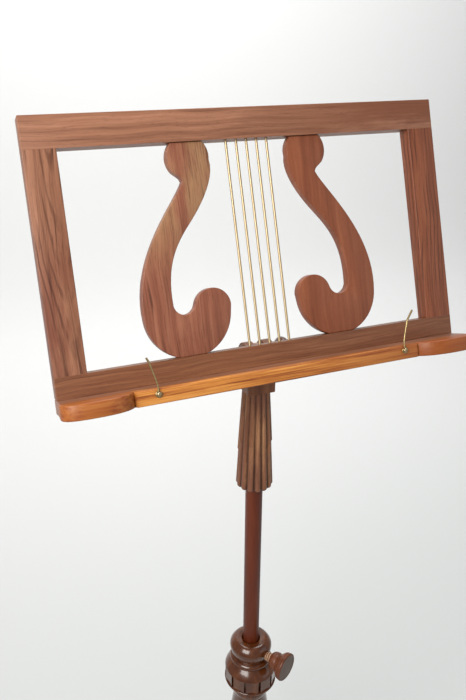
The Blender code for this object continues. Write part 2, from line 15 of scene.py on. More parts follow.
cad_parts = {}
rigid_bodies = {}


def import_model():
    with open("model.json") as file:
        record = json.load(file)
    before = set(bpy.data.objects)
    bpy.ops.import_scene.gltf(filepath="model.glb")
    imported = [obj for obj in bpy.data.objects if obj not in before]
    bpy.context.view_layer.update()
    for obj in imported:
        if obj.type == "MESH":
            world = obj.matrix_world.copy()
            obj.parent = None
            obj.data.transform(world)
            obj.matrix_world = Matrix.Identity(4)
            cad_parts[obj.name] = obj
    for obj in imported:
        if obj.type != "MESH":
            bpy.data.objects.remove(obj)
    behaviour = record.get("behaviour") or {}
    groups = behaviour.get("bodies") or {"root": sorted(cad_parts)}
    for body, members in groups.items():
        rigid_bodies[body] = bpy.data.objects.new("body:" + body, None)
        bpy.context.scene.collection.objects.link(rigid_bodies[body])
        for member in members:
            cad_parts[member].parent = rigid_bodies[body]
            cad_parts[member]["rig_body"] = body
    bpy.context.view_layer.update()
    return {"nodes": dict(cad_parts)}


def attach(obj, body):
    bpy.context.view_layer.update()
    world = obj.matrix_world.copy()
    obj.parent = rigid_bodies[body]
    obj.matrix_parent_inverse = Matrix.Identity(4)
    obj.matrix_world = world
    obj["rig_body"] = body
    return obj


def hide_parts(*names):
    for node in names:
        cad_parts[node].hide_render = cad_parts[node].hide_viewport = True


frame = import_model()
MM = 0.001

# %% [markdown]
# ## The stand's own directions
#
# Two things are easier to draw in their own frame than in the room's. The desk leans back, so we work in u
# (across), v (up the desk) and w (out of its front), all from the middle of the ledge's top edge. The post is
# upright, behind the desk. The clamp screw points out of the post to the right of the player. Each frame is a
# matrix that carries a point from its own numbers to the room.

# %% Frames and sizes
POST_Y = 57.7
PIVOT_Z = 1029
CLAMP_Z = 557
DESK_TILT = 18.7


def moved(x, y, z):
    """A move by this many mm."""
    return Matrix.Translation((x * MM, y * MM, z * MM))


def turned(degrees, axis):
    return Matrix.Rotation(math.radians(degrees), 4, axis)


POST = moved(0, POST_Y, 0)
PIVOT = moved(0, POST_Y, PIVOT_Z)
DESK = PIVOT @ turned(90 - DESK_TILT, "X") @ moved(0, -8.8, 47.7)
KNOB = PIVOT @ turned(90, "Y")
CLAMP = moved(0, POST_Y, CLAMP_Z) @ turned(-61, "Z") @ turned(90, "Y")
print("The desk's front edge meets the ledge at", [round(x, 4) for x in DESK.translation])

# %% [markdown]
# ## Hand tools
#
# Blender's operators act on whatever is selected, so `pick` clears the selection and takes one piece.
# `settle` bakes a piece's place into its mesh, which leaves the object at the origin. `finish_piece` then
# gives a piece its name and material, hides the CAD nodes it stands for and ties it to the body it moves
# with.


# %% Selecting and settling
def select_none():
    if bpy.context.mode != "OBJECT":
        bpy.ops.object.mode_set(mode="OBJECT")
    bpy.ops.object.select_all(action="DESELECT")


def pick(obj):
    select_none()
    obj.select_set(True)
    bpy.context.view_layer.objects.active = obj


def settle(obj, place=None):
    pick(obj)
    if place is not None:
        obj.matrix_world = place @ obj.matrix_world
    bpy.ops.object.transform_apply(location=True, rotation=True, scale=True)
    return obj


def modify(obj, kind, **settings):
    """Adds a modifier, sets it up and applies it."""
    pick(obj)
    change = obj.modifiers.new(kind.lower(), kind)
    for name, value in settings.items():
        setattr(change, name, value)
    bpy.ops.object.modifier_apply(modifier=change.name)


def combine(obj, tool, operation):
    """Cuts a tool away from a piece, or unites the two, and throws the tool away."""
    modify(obj, "BOOLEAN", operation=operation, solver="EXACT", object=tool)
    bpy.data.objects.remove(tool)


def face_outward():
    """Turns every face of the piece being edited outward, and ends the editing."""
    bpy.ops.mesh.select_all(action="SELECT")
    bpy.ops.mesh.normals_make_consistent(inside=False)
    bpy.ops.object.mode_set(mode="OBJECT")


def merge_points(obj):
    """Makes one point of those that lie on each other."""
    pick(obj)
    bpy.ops.object.mode_set(mode="EDIT")
    bpy.ops.mesh.select_all(action="SELECT")
    bpy.ops.mesh.remove_doubles(threshold=0.00001)
    bpy.ops.object.mode_set(mode="OBJECT")


def select_open_edges(obj):
    """Selects the edges where the mesh is open, and stays in edit mode."""
    pick(obj)
    bpy.ops.object.mode_set(mode="EDIT")
    bpy.context.tool_settings.mesh_select_mode = (False, True, False)
    bpy.ops.mesh.select_all(action="DESELECT")
    bpy.ops.mesh.select_non_manifold(extend=False)


def smooth(obj, degrees=30):
    pick(obj)
    bpy.ops.object.shade_smooth_by_angle(angle=math.radians(degrees))


def copied(obj, place):
    """A copy with a mesh of its own, carried to a new place."""
    made = obj.copy()
    made.data = obj.data.copy()
    bpy.context.collection.objects.link(made)
    return settle(made, place)


def block(low, high, place=None):
    """A cube between two corners in mm, in the frame `place`."""
    low, high = Vector(low) * MM, Vector(high) * MM
    select_none()
    bpy.ops.mesh.primitive_cube_add(size=1, location=(low + high) / 2, scale=high - low)
    return settle(bpy.context.active_object, place)


def cylinder(sides, radius, depth, place):
    """A cylinder about the Z axis of the frame `place`, with its radius and depth in mm."""
    select_none()
    bpy.ops.mesh.primitive_cylinder_add(vertices=sides, radius=radius * MM, depth=depth * MM)
    return settle(bpy.context.active_object, place)


def round_about(turn):
    """The move that carries a piece round the post by an angle in degrees."""
    return POST @ turned(turn, "Z") @ POST.inverted()


def body_of(node):
    return frame["nodes"][node]["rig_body"]


def finish_piece(obj, name, material, slot, *nodes):
    """The piece takes the place of its CAD nodes and moves with the first one's body."""
    obj.name = obj.data.name = name
    obj.data.materials.clear()
    obj.data.materials.append(material)
    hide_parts(*nodes)
    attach(obj, body_of(nodes[0]))
    print(f"{name}: {len(obj.data.polygons)} faces, for {', '.join(nodes)}")
    return obj


# %% [markdown]
# ## Drawing a line, a board and a turned shape
#
# Most of this stand is either sawn from a board or turned on a lathe. Both start from a line. We add a plane,
# merge it to one point, and extrude that point from place to place. A closed line is filled and extruded for
# a board. A line beside an axis is spun round it for a turned piece. Curves are worked out first, as points.


# %% Lines, boards and turned shapes
def extrude(move):
    """Extrudes what is selected, by this move."""
    bpy.ops.mesh.extrude_region_move(TRANSFORM_OT_translate={"value": move})


def draw_line(points, closed=False):
    """Extrudes one point from place to place, and leaves the line in edit mode, all selected."""
    select_none()
    bpy.ops.mesh.primitive_plane_add(size=MM, location=(0, 0, 0))
    bpy.ops.object.mode_set(mode="EDIT")
    bpy.context.tool_settings.mesh_select_mode = (True, False, False)
    bpy.ops.mesh.merge(type="CENTER")
    bpy.ops.transform.translate(value=points[0])
    for here, there in zip(points, points[1:]):
        extrude(Vector(there) - Vector(here))
    bpy.ops.mesh.select_all(action="SELECT")
    if closed:
        bpy.ops.mesh.edge_face_add()
    return bpy.context.active_object


def select_edges(obj, wanted):
    """Selects the edges where wanted(start, end, angle between the two faces) is true; stays in edit mode."""
    bpy.ops.object.mode_set(mode="OBJECT")
    mesh = obj.data
    normals = {}
    for face in mesh.polygons:
        for key in face.edge_keys:
            normals.setdefault(key, []).append(face.normal)
    for item in (*mesh.vertices, *mesh.edges, *mesh.polygons):
        item.select = False
    for edge in mesh.edges:
        start, end = (mesh.vertices[i].co for i in edge.vertices)
        sides = normals.get(tuple(sorted(edge.vertices)), [])
        turn = math.degrees(sides[0].angle(sides[1])) if len(sides) == 2 else 0
        edge.select = wanted(start, end, turn)
    bpy.context.tool_settings.mesh_select_mode = (False, True, False)
    bpy.ops.object.mode_set(mode="EDIT")


def bevel_selected(obj, width):
    """Rounds the selected edges, and ends the editing."""
    bpy.ops.mesh.bevel(offset=width, segments=3, affect="EDGES", clamp_overlap=True)
    bpy.ops.object.mode_set(mode="OBJECT")
    smooth(obj)
    return obj


def cut_board(outline, thick, ease, corner=50):
    """A board: an outline in X and Y, half its thickness each way along Z, and its sharp edges eased."""
    obj = draw_line([(x, y, -thick / 2) for x, y in outline], closed=True)
    extrude((0, 0, thick))
    face_outward()
    select_edges(obj, lambda start, end, turn: turn > corner and abs(start.z - end.z) < thick / 2)
    return bevel_selected(obj, ease)


def turn_piece(profile, steps=96, sharp=28):
    """A lathe-turned piece about Z: profile is (radius, height) in mm, from its top down the outer side."""
    obj = draw_line([(r * MM, 0, z * MM) for r, z in profile])
    bpy.ops.mesh.spin(steps=steps, angle=2 * math.pi, center=(0, 0, 0), axis=(0, 0, 1))
    bpy.ops.mesh.select_all(action="SELECT")
    bpy.ops.mesh.remove_doubles(threshold=0.00002)
    face_outward()
    smooth(obj, sharp)
    return obj


def flowing(points, steps=4):
    """A smooth line through these points, as a turner's gouge would run it."""
    ends = [points[0], *points, points[-1]]
    found = []
    for a, b, c, d in zip(ends, ends[1:], ends[2:], ends[3:]):
        for i in range(steps):
            t = i / steps
            found.append(
                tuple(
                    0.5 * (2 * b[k] + (c[k] - a[k]) * t + (2 * a[k] - 5 * b[k] + 4 * c[k] - d[k]) * t * t
                           + (3 * b[k] - a[k] - 3 * c[k] + d[k]) * t**3)
                    for k in range(len(b))
                )
            )
    return [*found, tuple(points[-1])]


def arc(centre, radius, start, end, count):
    turns = [math.radians(start + (end - start) * i / (count - 1)) for i in range(count)]
    return [(centre[0] + radius * math.cos(a), centre[1] + radius * math.sin(a)) for a in turns]


def bezier(a, b, c, d, count):
    """Points on a cubic curve, both ends left out."""
    found = []
    for i in range(1, count + 1):
        t = i / (count + 1)
        weights = ((1 - t) ** 3, 3 * t * (1 - t) ** 2, 3 * t * t * (1 - t), t**3)
        found.append(tuple(sum(w * p[k] for w, p in zip(weights, (a, b, c, d))) for k in (0, 1)))
    return found


# %% [markdown]
# ## Colours and nodes
#
# A colour listed here is an sRGB hex value. Blender's shaders want linear numbers, so one function converts
# them. A second small function adds a shader node: its settings, then its inputs, where an input is either a
# value or the socket of another node.


# %% Two helpers for materials
def linear(hex_colour):
    """An sRGB hex colour as linear red, green, blue and alpha."""
    channels = [int(hex_colour[i : i + 2], 16) / 255 for i in (1, 3, 5)]
    return (*(c / 12.92 if c <= 0.04045 else ((c + 0.055) / 1.055) ** 2.4 for c in channels), 1.0)


def add_node(tree, kind, settings=None, inputs=None):
    node = tree.nodes.new(kind)
    for name, value in (settings or {}).items():
        setattr(node, name, value)
    for key, value in (inputs or {}).items():
        socket = node.inputs[key]
        if isinstance(value, bpy.types.NodeSocket):
            tree.links.new(value, socket)
        else:
            socket.default_value = value
    return node


def new_material(name, **inputs):
    """A material whose shader has these inputs set, with its tree."""
    made = bpy.data.materials.new(name)
    made.use_nodes = True
    shader = made.node_tree.nodes["Principled BSDF"]
    for key, value in inputs.items():
        shader.inputs[key.replace("_", " ")].default_value = value
    return made, made.node_tree, shader


def set_ramp(node, stops):
    """Sets a colour ramp's stops: (position, hex colour)."""
    points = node.color_ramp.elements
    while len(points) < len(stops):
        points.new(0.5)
    for point, (position, colour) in zip(points, stops):
        point.position = position
        point.color = linear(colour)


# %% [markdown]
# ## Rosewood
#
# The stand is Indian rosewood, planed and oiled. To the eye it is a warm red-brown with darker purple-brown
# streaks along the grain, fine open pores, and a soft satin shine. Real streaks are 2 to 10 mm wide and many
# centimetres long, with dark threads of about 1 mm among them. Pores are about 0.2 mm wide, too fine to show,
# so they are drawn 0.8 mm wide. Noise patterns stretched along the grain draw all of it, and the uprights get
# long arches of year rings as well. Each piece has its own grain direction, so the patterns are first turned
# to it, and moved, so that no two boards look the same. A broad noise then bends them a little.


# %% The wood material
def seen_from(tree, frame_matrix):
    """Each point's place in a frame of its own, such as the desk's."""
    coordinates = add_node(tree, "ShaderNodeTexCoord").outputs["Object"]
    turn = {
        "Vector": coordinates,
        "Location": frame_matrix.translation,
        "Rotation": frame_matrix.to_euler("XYZ"),
    }
    return add_node(tree, "ShaderNodeMapping", {"vector_type": "TEXTURE"}, turn).outputs[0]


def part_of(tree, place, axis):
    return add_node(tree, "ShaderNodeSeparateXYZ", inputs={0: place}).outputs[axis]


def stretched(tree, place, along, across, through, detail=4.0, roughness=0.55):
    """Noise whose patches are this many mm long, wide and deep."""
    scaled = add_node(
        tree,
        "ShaderNodeMapping",
        inputs={"Vector": place, "Scale": (1 / (along * MM), 1 / (across * MM), 1 / (through * MM))},
    )
    return add_node(
        tree,
        "ShaderNodeTexNoise",
        inputs={"Vector": scaled.outputs[0], "Scale": 1.0, "Detail": detail, "Roughness": roughness},
    ).outputs["Fac"]


def mixed(tree, share, first, second, blend="MIX"):
    """Two colours mixed; share is a value or a socket."""
    return add_node(
        tree,
        "ShaderNodeMix",
        {"data_type": "RGBA", "blend_type": blend, "clamp_result": True},
        {0: share, 6: first, 7: second},
    ).outputs[2]


def calculated(tree, operation, *values):
    """The result of a mathematical operation on values or sockets."""
    return add_node(tree, "ShaderNodeMath", {"operation": operation}, dict(enumerate(values))).outputs[0]


def ranged(tree, value, low, high, to_low=0.0, to_high=1.0):
    """A value between low and high, spread smoothly over a new range."""
    return add_node(
        tree,
        "ShaderNodeMapRange",
        {"interpolation_type": "SMOOTHSTEP"},
        {0: value, 1: low, 2: high, 3: to_low, 4: to_high},
    ).outputs[0]


STREAK = linear("#3A1C12")
WANDER = 14 * MM
RING_SPACING = 4.5 * MM
RINGS_HEIGHT = 140  # the height up the desk, in mm, of the point that `arches` gives
WAVES_IN_ONE_UNIT = 20  # the wave texture's own factor, in radians


def rosewood(
    name, grain, tones, offset, streaks=0.55, width=7, shine=0.42, coat=0.0, patch=None, arches=None
):
    """tones are a dark, a middle and a light hex colour; grain's X axis is the grain's direction.

    width is a streak's in mm, and streaks says how dark they are. patch is another colour, with the desk's
    axis along which it comes in and the two places where it starts and is full. arches places the tree's
    middle in the desk's frame: across it and behind it in mm, and its slant in degrees.
    """
    made, tree, shader = new_material(
        name, Specular_IOR_Level=0.3, Roughness=shine, Coat_Weight=coat, Coat_Roughness=0.12
    )
    along_grain = seen_from(tree, Matrix.Translation(offset) @ grain.to_4x4())
    # The tree never grows quite straight, so the grain wanders by a few millimetres.
    wander = add_node(
        tree, "ShaderNodeTexNoise", inputs={"Vector": along_grain, "Scale": 1 / (110 * MM), "Detail": 1.0}
    ).outputs["Color"]
    bend = add_node(
        tree,
        "ShaderNodeVectorMath",
        {"operation": "MULTIPLY_ADD"},
        {0: wander, 1: (0, WANDER, WANDER), 2: along_grain},
    ).outputs[0]
    figure = stretched(tree, bend, 240, width, width * 1.6, 6, 0.62)
    tone = add_node(tree, "ShaderNodeValToRGB", inputs={0: figure})
    set_ramp(tone, [(0.22, tones[0]), (0.50, tones[1]), (0.78, tones[2])])
    colour = tone.outputs[0]
    if patch:
        patch_colour, axis, begins, full = patch
        broad = stretched(tree, along_grain, 130, 30, 45, 5, 0.6)
        place = part_of(tree, seen_from(tree, DESK), axis)
        here = ranged(tree, place, begins * MM, full * MM, 0.0, 0.9)
        share = calculated(tree, "MULTIPLY", ranged(tree, broad, 0.36, 0.58), here)
        colour = mixed(tree, share, colour, linear(patch_colour))
    lines = stretched(tree, bend, 150, width * 0.4, width, 4, 0.6)
    colour = mixed(tree, ranged(tree, lines, 0.54, 0.74, 0.0, streaks), colour, STREAK)
    threads = stretched(tree, bend, 110, 1.1, 2.5, 2)
    colour = mixed(tree, ranged(tree, threads, 0.55, 0.68, 0.0, streaks * 0.5), colour, STREAK)
    if arches:
        # Year rings round a line that runs up through the board at a slant draw long pointed arches on it.
        across, depth, slant = arches
        core = seen_from(tree, DESK @ moved(across, RINGS_HEIGHT, -depth) @ turned(slant, "X"))
        rings = add_node(
            tree,
            "ShaderNodeTexWave",
            {"wave_type": "RINGS", "rings_direction": "Y"},
            {
                "Vector": core,
                "Scale": 2 * math.pi / (WAVES_IN_ONE_UNIT * RING_SPACING),
                "Distortion": 9.0,
                "Detail": 3.0,
                "Detail Scale": 0.1,
            },
        ).outputs["Fac"]
        faint = ranged(tree, stretched(tree, bend, 120, 12, 12, 3), 0.35, 0.62)
        share = calculated(tree, "MULTIPLY", ranged(tree, rings, 0.6, 1.0, 0.0, 0.6), faint)
        colour = mixed(tree, share, colour, STREAK)
    pores = stretched(tree, bend, 9, 0.8, 0.8, 2)
    colour = mixed(tree, ranged(tree, pores, 0.55, 0.75, 0.0, 0.3), colour, STREAK)
    tree.links.new(colour, shader.inputs["Base Color"])
    height = ranged(tree, pores, 0.5, 0.8, 1.0, 0.0)
    rise = add_node(tree, "ShaderNodeBump", inputs={"Strength": 0.25, "Distance": 0.1 * MM, "Height": height})
    tree.links.new(rise.outputs[0], shader.inputs["Normal"])
    return made


def painted(made):
    """A material's tree, the input that takes its colour, and the colour that feeds it now."""
    colour_input = made.node_tree.nodes["Principled BSDF"].inputs["Base Color"]
    return made.node_tree, colour_input, colour_input.links[0].from_socket


def paint_groove_shade(made, about, lean, low, high, dark):
    """Paints shade into a material's colour toward an axis, the shade in a groove: from nothing at the high
    radius in mm to nearly all at the low one.

    The radius grows by `lean` times the height, which follows a piece that leans in as it rises.
    """
    tree, colour_input, wood = painted(made)
    place = seen_from(tree, about)
    flat = add_node(tree, "ShaderNodeVectorMath", {"operation": "MULTIPLY"}, {0: place, 1: (1, 1, 0)})
    radius = add_node(tree, "ShaderNodeVectorMath", {"operation": "LENGTH"}, {0: flat.outputs[0]})
    height = part_of(tree, place, "Z")
    level = calculated(tree, "MULTIPLY_ADD", height, lean, radius.outputs["Value"])
    # `groove` is the share of painted shade at each point, and `dark` is the painted shade's colour.
    groove = ranged(tree, level, low * MM, high * MM, 0.95, 0.0)
    tree.links.new(mixed(tree, groove, wood, linear(dark)), colour_input)


ACROSS = DESK.to_3x3()  # grain along the rails
UP_THE_DESK = ACROSS @ Matrix.Rotation(math.pi / 2, 3, "Z")  # grain along the uprights
UPRIGHT = Matrix.Rotation(-math.pi / 2, 3, "Y")  # grain along the post
BROWN = ("#67402E", "#875A43", "#9F7058")
LOW = ("#5A3221", "#74482F", "#8C5E41")
MELLOW = ("#643828", "#814D39", "#99664E")
RED = ("#60321E", "#7B442C", "#90573B")
TAN = ("#553422", "#86593D", "#B58A64")
DARK = ("#3F1606", "#55200A", "#6A2F15")
KNOB_TONES = ("#46210F", "#5F321D", "#774730")
UMBER = ("#321403", "#4C2409", "#663917")
rail_wood = rosewood(
    "oiled rosewood, top rail", ACROSS, BROWN, (0.31, 0.02, 0.0), streaks=0.4, width=5,
    patch=("#6F402A", "X", -60, 240),
)
low_rail_wood = rosewood(
    "oiled rosewood, bottom rail", ACROSS, LOW, (1.2, 0.4, 0.1), streaks=0.5, width=4
)
left_stile_wood = rosewood(
    "oiled rosewood, left upright", UP_THE_DESK, BROWN, (0.7, 0.33, 0.2), streaks=0.8, width=8,
    patch=("#6C3B2B", "Y", 230, 60), arches=(-226, 16, 5),
)
right_stile_wood = rosewood(
    "oiled rosewood, right upright", UP_THE_DESK, RED, (2.1, 0.9, 0.4), streaks=0.7, width=6,
    arches=(205, 22, 2),
)
left_scroll_wood = rosewood(
    "oiled rosewood, left scroll", UP_THE_DESK, MELLOW, (3.3, 0.2, 0.1), streaks=0.75, width=9,
    patch=("#967050", "Y", 105, 200),
)
right_scroll_wood = rosewood(
    "oiled rosewood, right scroll", UP_THE_DESK, RED, (4.1, 1.2, 0.3), streaks=0.2, width=14
)
stem_wood = rosewood(
    "oiled rosewood, plate and tongue", UPRIGHT, TAN, (0.1, 0.5, 0.9), streaks=0.6, width=6
)
yoke_wood = rosewood("oiled rosewood, yoke", UPRIGHT, LOW, (0.6, 0.2, 0.5), streaks=0.5, width=8)
rod_wood = rosewood(
    "polished rosewood rod", UPRIGHT, DARK, (0.4, 0.1, 0.3), streaks=0.2, width=14, shine=0.4
)
turned_wood = rosewood(
    "polished turned rosewood", UPRIGHT, UMBER, (1.4, 0.6, 0.2), streaks=0.35, width=9, shine=0.24, coat=0.5
)
knob_wood = rosewood(
    "worn turned rosewood", UPRIGHT, KNOB_TONES, (1.9, 0.1, 0.8), streaks=0.5, width=6, shine=0.36
)
leg_wood = rosewood(
    "polished rosewood legs", UPRIGHT, UMBER, (2.4, 0.9, 0.7), streaks=0.4, width=9, shine=0.26, coat=0.4
)
print("Rosewood in", len(bpy.data.materials), "finishes")

# %% [markdown]
# The ledge is cut from the edge of the tree. Its front still has the orange sapwood, which meets the brown
# heartwood in a wavy line just behind the front edge. We blend from brown to orange by the distance out of
# the desk's front, and let a stretched noise push that line back and forth.


# %% The ledge's two woods
def two_tone_wood(name):
    made = rosewood(name, ACROSS, BROWN, (0.9, 0.15, 0.6), streaks=0.45, width=6)
    tree, colour_input, heartwood = painted(made)
    on_desk = seen_from(tree, DESK)
    across, out = part_of(tree, on_desk, "X"), part_of(tree, on_desk, "Z")
    figure = stretched(tree, on_desk, 150, 3.6, 5, 6, 0.68)
    sap = add_node(tree, "ShaderNodeValToRGB", inputs={0: figure})
    set_ramp(sap, [(0.38, "#642D12"), (0.46, "#9A5826"), (0.53, "#B57332"), (0.66, "#CE8F4A")])
    waves = stretched(tree, on_desk, 75, 40, 400, 2)
    edge = calculated(tree, "MULTIPLY_ADD", waves, 20 * MM, out)
    share = ranged(tree, edge, 33 * MM, 35.5 * MM)
    # The swelling ears are cut deeper into the red heartwood.
    side = calculated(tree, "ABSOLUTE", across)
    ear = ranged(tree, side, 172 * MM, 180 * MM, 0.0, 0.7)
    front = mixed(tree, ear, sap.outputs[0], linear("#84431F"))
    darker = ranged(tree, across, -20 * MM, 190 * MM, 0.0, 0.7)
    front = mixed(tree, darker, front, linear("#84441D"))
    tree.links.new(mixed(tree, share, heartwood, front), colour_input)
    return made


ledge_wood = two_tone_wood("oiled rosewood with orange sapwood")

# %% [markdown]
# ## Brass, leather and felt
#
# The strings and screws are drawn and polished brass: pale gold, with a shine that is a little blurred. The
# page wires are duller. The clamp's pad and the rod's guide ring are vegetable-tanned leather with a pebble
# of about 1 mm. The feet stand on pressed wool felt with loose fibres of about 0.5 mm. The thread of the
# wooden screw is bare wood with painted shade at its roots, and the flat face of its knob is rubbed dull.


# %% Metal and soft materials
def speckled(name, dark, light, grain, depth, roughness):
    """A finish with a fine mottle: grain is its size and depth its height, in mm."""
    made, tree, shader = new_material(name, Roughness=roughness)
    coordinates = add_node(tree, "ShaderNodeTexCoord").outputs["Object"]
    spots = {"Vector": coordinates, "Scale": 1 / (grain * MM), "Detail": 3.0}
    mottle = add_node(tree, "ShaderNodeTexNoise", inputs=spots).outputs["Fac"]
    tree.links.new(mixed(tree, mottle, linear(dark), linear(light)), shader.inputs["Base Color"])
    bumps = {"Strength": 0.5, "Distance": depth * MM, "Height": mottle}
    tree.links.new(add_node(tree, "ShaderNodeBump", inputs=bumps).outputs[0], shader.inputs["Normal"])
    return made


brass = new_material(
    "polished drawn brass", Base_Color=linear("#AC9877"), Roughness=0.4, Metallic=0.85
)[0]
old_brass = new_material(
    "dull bent brass wire", Base_Color=linear("#9C8860"), Roughness=0.38, Metallic=0.9
)[0]
leather = speckled("vegetable-tanned leather", "#4A2E1C", "#6B4529", 1.0, 0.15, 0.7)
felt = speckled("black wool felt", "#141414", "#2A2A2A", 0.5, 0.3, 0.95)
raw_wood = speckled("cut rosewood thread", "#A27656", "#CFA98C", 2.0, 0.1, 0.6)
# Painted shade: the thread's roots are darkened toward the screw's axis, where shade falls between the
# ridges.
paint_groove_shade(raw_wood, CLAMP, 0, 5.1, 6.5, "#5E3A28")
worn_face = speckled("knob face rubbed dull", "#4C392F", "#5E483C", 3.0, 0.05, 0.5)

# %% [markdown]
# ## The desk's frame
#
# Two rails run the full width, and two uprights stand between them. They are flush boards, 18 mm thick, so
# the seams show only as a change of grain. Each is a cube at its size and place. The outer edges are eased by
# a small bevel, but the ends of the uprights stay square, or the seams would open into grooves.

# %% Rails and uprights
HALF_DESK = 254 * MM
DESK_HEIGHT = 297 * MM
BOARD = 18 * MM
TOP_RAIL = 35.6 * MM
BOTTOM_RAIL = 24.4 * MM
STILE = 36 * MM
SEAM = 0.05 * MM  # the gap between a rail and the end of an upright


def desk_board(low, high, eased):
    """A board between two corners in the desk's frame; eased(middle) says which edges are rounded."""
    obj = block(Vector(low) / MM, Vector(high) / MM)
    select_edges(obj, lambda start, end, turn: eased((start + end) / 2))
    return settle(bevel_selected(obj, 1.1 * MM), DESK)


top_low = DESK_HEIGHT - TOP_RAIL
stile_top = top_low + 0.1 * MM
top_rail = desk_board(
    (-HALF_DESK, stile_top + SEAM, -BOARD), (HALF_DESK, DESK_HEIGHT, 0), lambda p: p.y > top_low + MM
)
finish_piece(top_rail, "top_rail_board", rail_wood, "desk_wood", "top_rail")
bottom_rail = desk_board(
    (-HALF_DESK, 3 * SEAM, -BOARD),
    (HALF_DESK, BOTTOM_RAIL - SEAM, 0),
    lambda p: abs(p.x) > HALF_DESK - MM,
)
finish_piece(bottom_rail, "bottom_rail_board", low_rail_wood, "desk_wood", "bottom_rail")
stiles = ((-1, "left_stile", left_stile_wood), (1, "right_stile", right_stile_wood))
for side, name, material in stiles:
    inner, outer = side * (HALF_DESK - STILE), side * HALF_DESK
    stile = desk_board(
        (min(inner, outer), BOTTOM_RAIL, -BOARD),
        (max(inner, outer), stile_top, 0),
        lambda p: abs(abs(p.y - (BOTTOM_RAIL + top_low) / 2)) < 50 * MM,
    )
    finish_piece(stile, f"{name}_board", material, "desk_wood", name)

# %% [markdown]
# ## The lyre scrolls
#
# Each scroll is sawn from a 12 mm board: a disc under the top rail, an S band, and a bowl whose end curls in
# like a leaf. Arcs and cubic curves give its outline, and the second scroll is the first one mirrored. The
# board's edges are eased all round, which gives the thin light line along them.


# %% Sawing the scrolls
def scroll_outline():
    """Half of the lyre, in mm, from the top rail down the outer side and back up the inner side."""
    top, foot = 261.35, 24.4
    disc, bowl, bulb, eye = (74, 245), (96, 73), (65, 76), (99, 84.5)
    disc_radius, bowl_radius, bulb_radius, eye_radius = 25, 51.5, 21.6, 13.3
    reach = math.degrees(math.asin((top - disc[1]) / disc_radius))
    rest = math.degrees(math.asin((foot - bowl[1]) / bowl_radius))
    notch = (83.5, 219)
    points = arc(disc, disc_radius, reach, -38, 12)
    points += bezier(points[-1], (89, 225), (84.5, 224), notch, 3)
    points += [notch]
    bowl_side = arc(bowl, bowl_radius, -5, rest, 14)
    points += bezier(notch, (93, 197), (155.5, 141), bowl_side[0], 22)
    points += bowl_side
    points += arc(bowl, bowl_radius, 180 - rest, 190, 13)
    points += arc(bulb, bulb_radius, 178, 15, 20)
    points += arc(eye, eye_radius, 205, 350, 16)
    inner_foot = points[-1]
    disc_side = arc(disc, disc_radius, 190, 180 - reach, 8)
    points += bezier(inner_foot, (115, 128), (100, 150), (80, 173), 14)
    points += [(80, 173)]
    points += bezier((80, 173), (62, 194), (44.5, 222), disc_side[0], 9)
    return points + disc_side


MID_BOARD = DESK @ moved(0, 0, -BOARD / MM / 2)
scrolls = ((-1, "left_scroll", left_scroll_wood), (1, "right_scroll", right_scroll_wood))
for side, name, material in scrolls:
    outline = [(side * x * MM, y * MM) for x, y in scroll_outline()]
    scroll = settle(cut_board(outline, 12 * MM, 1.0 * MM), MID_BOARD)
    finish_piece(scroll, f"{name}_board", material, "desk_wood", name)

# %% [markdown]
# ## The five strings
#
# The lyre's strings are 3 mm brass rods, let into holes in both rails. They are plain cylinders with enough
# sides to carry a clean highlight, modelled once and copied.

# %% The strings
STRING_SHIFT = 1.3  # the middle string is this far right of the desk's middle
STRING_GAP = 12.8
LET_IN = 6 * MM
string_low, string_high = BOTTOM_RAIL - LET_IN, top_low + LET_IN
string = cylinder(24, 1.5, (string_high - string_low) / MM, turned(90, "X"))
smooth(string)
for i in range(5):
    across = (STRING_SHIFT + STRING_GAP * (i - 2)) * MM
    place = MID_BOARD @ Matrix.Translation((across, (string_low + string_high) / 2, 0))
    finish_piece(copied(string, place), f"string_{i + 1}_rod", brass, "brass", f"string_{i + 1}")
bpy.data.objects.remove(string)

# %% [markdown]
# ## The ledge
#
# The music rests on a 17 mm ledge. Seen from above it has a straight middle and an ear that swells forward at
# each end, with a crisp notch between them. It is a board like the scrolls, but its edges are rounded more,
# because hands and pages rub there.


# %% Shaping the ledge
def ledge_outline():
    """The ledge from above in mm, u and w."""
    end, back, start, front, ear = 254, -18, 176, 32, 48
    quirk, swell, corner = (start + 1.5, front - 4), (start + 44, ear), (end + 2, ear - 22)
    right = [(start, front), quirk]
    right += bezier(quirk, (start + 10, ear - 5), (start + 24, ear), swell, 12)
    right += [swell]
    right += bezier(swell, (end - 13, ear), (end + 2, ear - 4), corner, 14)
    right += [corner, (end, 0), (end, back)]
    return [(-u, w) for u, w in right[::-1]] + right


LEDGE_THICK = 17 * MM
ledge = cut_board([(u * MM, -w * MM) for u, w in ledge_outline()], LEDGE_THICK, 1.8 * MM)
flat = turned(-90, "X") @ Matrix.Diagonal((1, 1, -1, 1))
settle(ledge, DESK @ Matrix.Translation((0, -LEDGE_THICK / 2, 0)) @ flat)
pick(ledge)
bpy.ops.object.mode_set(mode="EDIT")
face_outward()
finish_piece(ledge, "ledge_board", ledge_wood, "ledge_wood", "ledge")

# %% [markdown]
# ## The page holders
#
# Two bent wires swing up to hold the pages. Each has an eye at its foot, on a small round-headed screw, and a
# thicker tip that catches the light. A curve with a round bevel is the natural way to draw a bent wire. It is
# then made a mesh, so that its place can go into its points.


# %% Bending the wires
def bent_wire(points, radius, swell):
    """A round wire through these points; swell gives each point's thickness as a share of the radius."""
    select_none()
    bpy.ops.curve.primitive_nurbs_path_add()
    obj = bpy.context.active_object
    curve = obj.data
    curve.splines.remove(curve.splines[0])
    line = curve.splines.new("POLY")
    line.points.add(len(points) - 1)
    for point, place, share in zip(line.points, points, swell):
        point.co = (*place, 1)
        point.radius = share
    curve.bevel_depth = radius
    curve.bevel_resolution = 4
    curve.use_fill_caps = True
    pick(obj)
    bpy.ops.object.convert(target="MESH")
    return bpy.context.active_object


